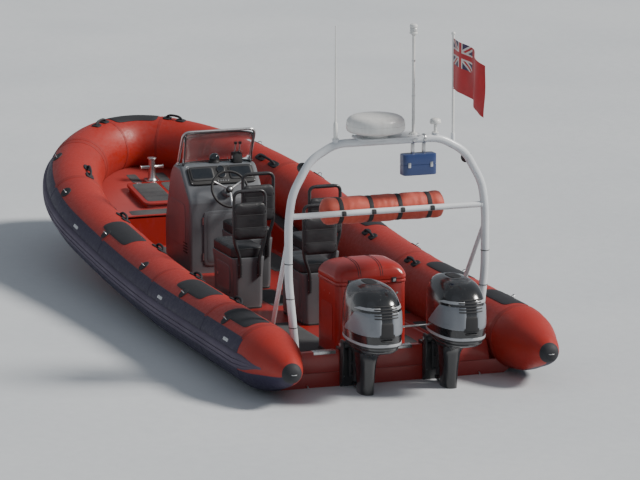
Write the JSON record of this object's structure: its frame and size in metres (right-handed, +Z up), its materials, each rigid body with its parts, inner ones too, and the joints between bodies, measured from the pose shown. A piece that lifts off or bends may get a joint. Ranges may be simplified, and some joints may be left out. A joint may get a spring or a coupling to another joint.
{
  "type": "inshore rescue boat",
  "caption": "Rigid inflatable rescue boat with tilting, steered outboards, aft roll frame, console and jockey seats.",
  "frame": {"origin": "on the centreline amidships, at the still waterline", "axes": "+X forward, +Y to port, +Z up"},
  "size_m": [8.4555, 2.891, 3.8343],
  "materials": {
    "hull_gelcoat": "worn gelcoat gloss",
    "collar_fabric": "coated fabric, satin",
    "deck_tread": "moulded non-slip",
    "stainless": "polished, salt-dulled",
    "cast_paint": "satin",
    "engine_paint": "gloss",
    "engine_metal": "cast",
    "propeller_metal": "machined",
    "frame_paint": "semi-gloss",
    "cabinet_paint": "satin",
    "white_plastic": "semi-gloss",
    "flag_cloth": "woven",
    "bag_fabric": "coated weave",
    "console_gelcoat": "satin gelcoat",
    "black_plastic": "moulded",
    "clear_screen": "clear",
    "seat_vinyl": "marine vinyl"
  },
  "bodies": {
    "boat": {"hull": "hull_gelcoat", "transom_board": "hull_gelcoat", "tube_port": "collar_fabric", "tube_starboard": "collar_fabric", "tube_bow": "collar_fabric", "towing_post": "stainless", "bow_eye": "stainless", "aft_locker": "hull_gelcoat", "clamp_bracket_port": "cast_paint", "clamp_bracket_starboard": "cast_paint", "roll_frame": "frame_paint", "frame_cabinet": "cabinet_paint", "radome": "white_plastic", "position_dome": "white_plastic", "aerial": "white_plastic", "light_mast": "white_plastic", "ensign_staff": "white_plastic", "ensign": "flag_cloth", "righting_bag": "bag_fabric", "console": "console_gelcoat", "instrument_panel": "black_plastic", "throttle_box": "black_plastic", "windscreen": "clear_screen", "console_rail": "stainless", "seat_pod_helm": "console_gelcoat", "seat_pod_port": "console_gelcoat", "seat_pod_starboard": "console_gelcoat", "seat_pod_aft": "console_gelcoat", "seat_cushion_helm": "seat_vinyl", "seat_cushion_port": "seat_vinyl", "seat_cushion_starboard": "seat_vinyl", "seat_cushion_aft": "seat_vinyl", "seat_back_helm": "seat_vinyl", "seat_back_port": "seat_vinyl", "seat_back_starboard": "seat_vinyl", "seat_back_aft": "seat_vinyl"},
    "fore_lid": {"foredeck_lid": "deck_tread"},
    "aft_lid": {"aft_locker_lid": "hull_gelcoat"},
    "swivel_port": {"swivel_bracket_port": "cast_paint"},
    "swivel_starboard": {"swivel_bracket_starboard": "cast_paint"},
    "engine_port": {"engine_leg_port": "engine_paint", "engine_cowling_port": "engine_paint", "powerhead_port": "engine_metal"},
    "engine_starboard": {"engine_leg_starboard": "engine_paint", "engine_cowling_starboard": "engine_paint", "powerhead_starboard": "engine_metal"},
    "screw_port": {"propeller_port": "propeller_metal"},
    "screw_starboard": {"propeller_starboard": "propeller_metal"},
    "tie": {"tie_bar": "stainless"},
    "wheel": {"steering_wheel": "black_plastic"}
  },
  "joints": [
    {"name": "tilt_port", "type": "hinge", "parent": "boat", "child": "swivel_port", "pos_m": [-3.49, 0.375, 0.365], "axis": [0, 1, 0], "range_deg": [-4, 66]},
    {"name": "steer_port", "type": "hinge", "parent": "swivel_port", "child": "engine_port", "pos_m": [-3.59, 0.375, 0.365], "axis": [0, 0, 1], "range_deg": [-30, 30]},
    {"name": "turn_port", "type": "hinge", "parent": "engine_port", "child": "screw_port", "pos_m": [-4.02, 0.375, -0.53], "axis": [1, 0, 0], "continuous": true},
    {"name": "tilt_starboard", "type": "hinge", "parent": "boat", "child": "swivel_starboard", "pos_m": [-3.49, -0.375, 0.365], "axis": [0, 1, 0], "range_deg": [-4, 66]},
    {"name": "steer_starboard", "type": "hinge", "parent": "swivel_starboard", "child": "engine_starboard", "pos_m": [-3.59, -0.375, 0.365], "axis": [0, 0, 1], "range_deg": [-30, 30]},
    {"name": "turn_starboard", "type": "hinge", "parent": "engine_starboard", "child": "screw_starboard", "pos_m": [-4.02, -0.375, -0.53], "axis": [1, 0, 0], "continuous": true},
    {"name": "tie_pin", "type": "hinge", "parent": "engine_port", "child": "tie", "pos_m": [-3.445, 0.375, 0.467], "axis": [0, 0, 1], "range_deg": [-30, 30]},
    {"name": "helm_turn", "type": "hinge", "parent": "boat", "child": "wheel", "pos_m": [0.83522, 0, 0.91103], "axis": [-0.8829, 0, 0.4695], "range_deg": [-540, 540]},
    {"name": "fore_lid_hinge", "type": "hinge", "parent": "boat", "child": "fore_lid", "pos_m": [3.07978, 0, 0.57846], "axis": [0, 1, 0], "range_deg": [0, 100]},
    {"name": "aft_lid_hinge", "type": "hinge", "parent": "boat", "child": "aft_lid", "pos_m": [-2.41, 0, 0.74], "axis": [0, 1, 0], "range_deg": [0, 95]}
  ],
  "couplings": [
    {"joint": "tilt_starboard", "follows": "tilt_port", "ratio": 1},
    {"joint": "steer_starboard", "follows": "steer_port", "ratio": 1},
    {"joint": "tie_pin", "follows": "steer_port", "ratio": -1},
    {"joint": "helm_turn", "follows": "steer_port", "ratio": -18}
  ]
}
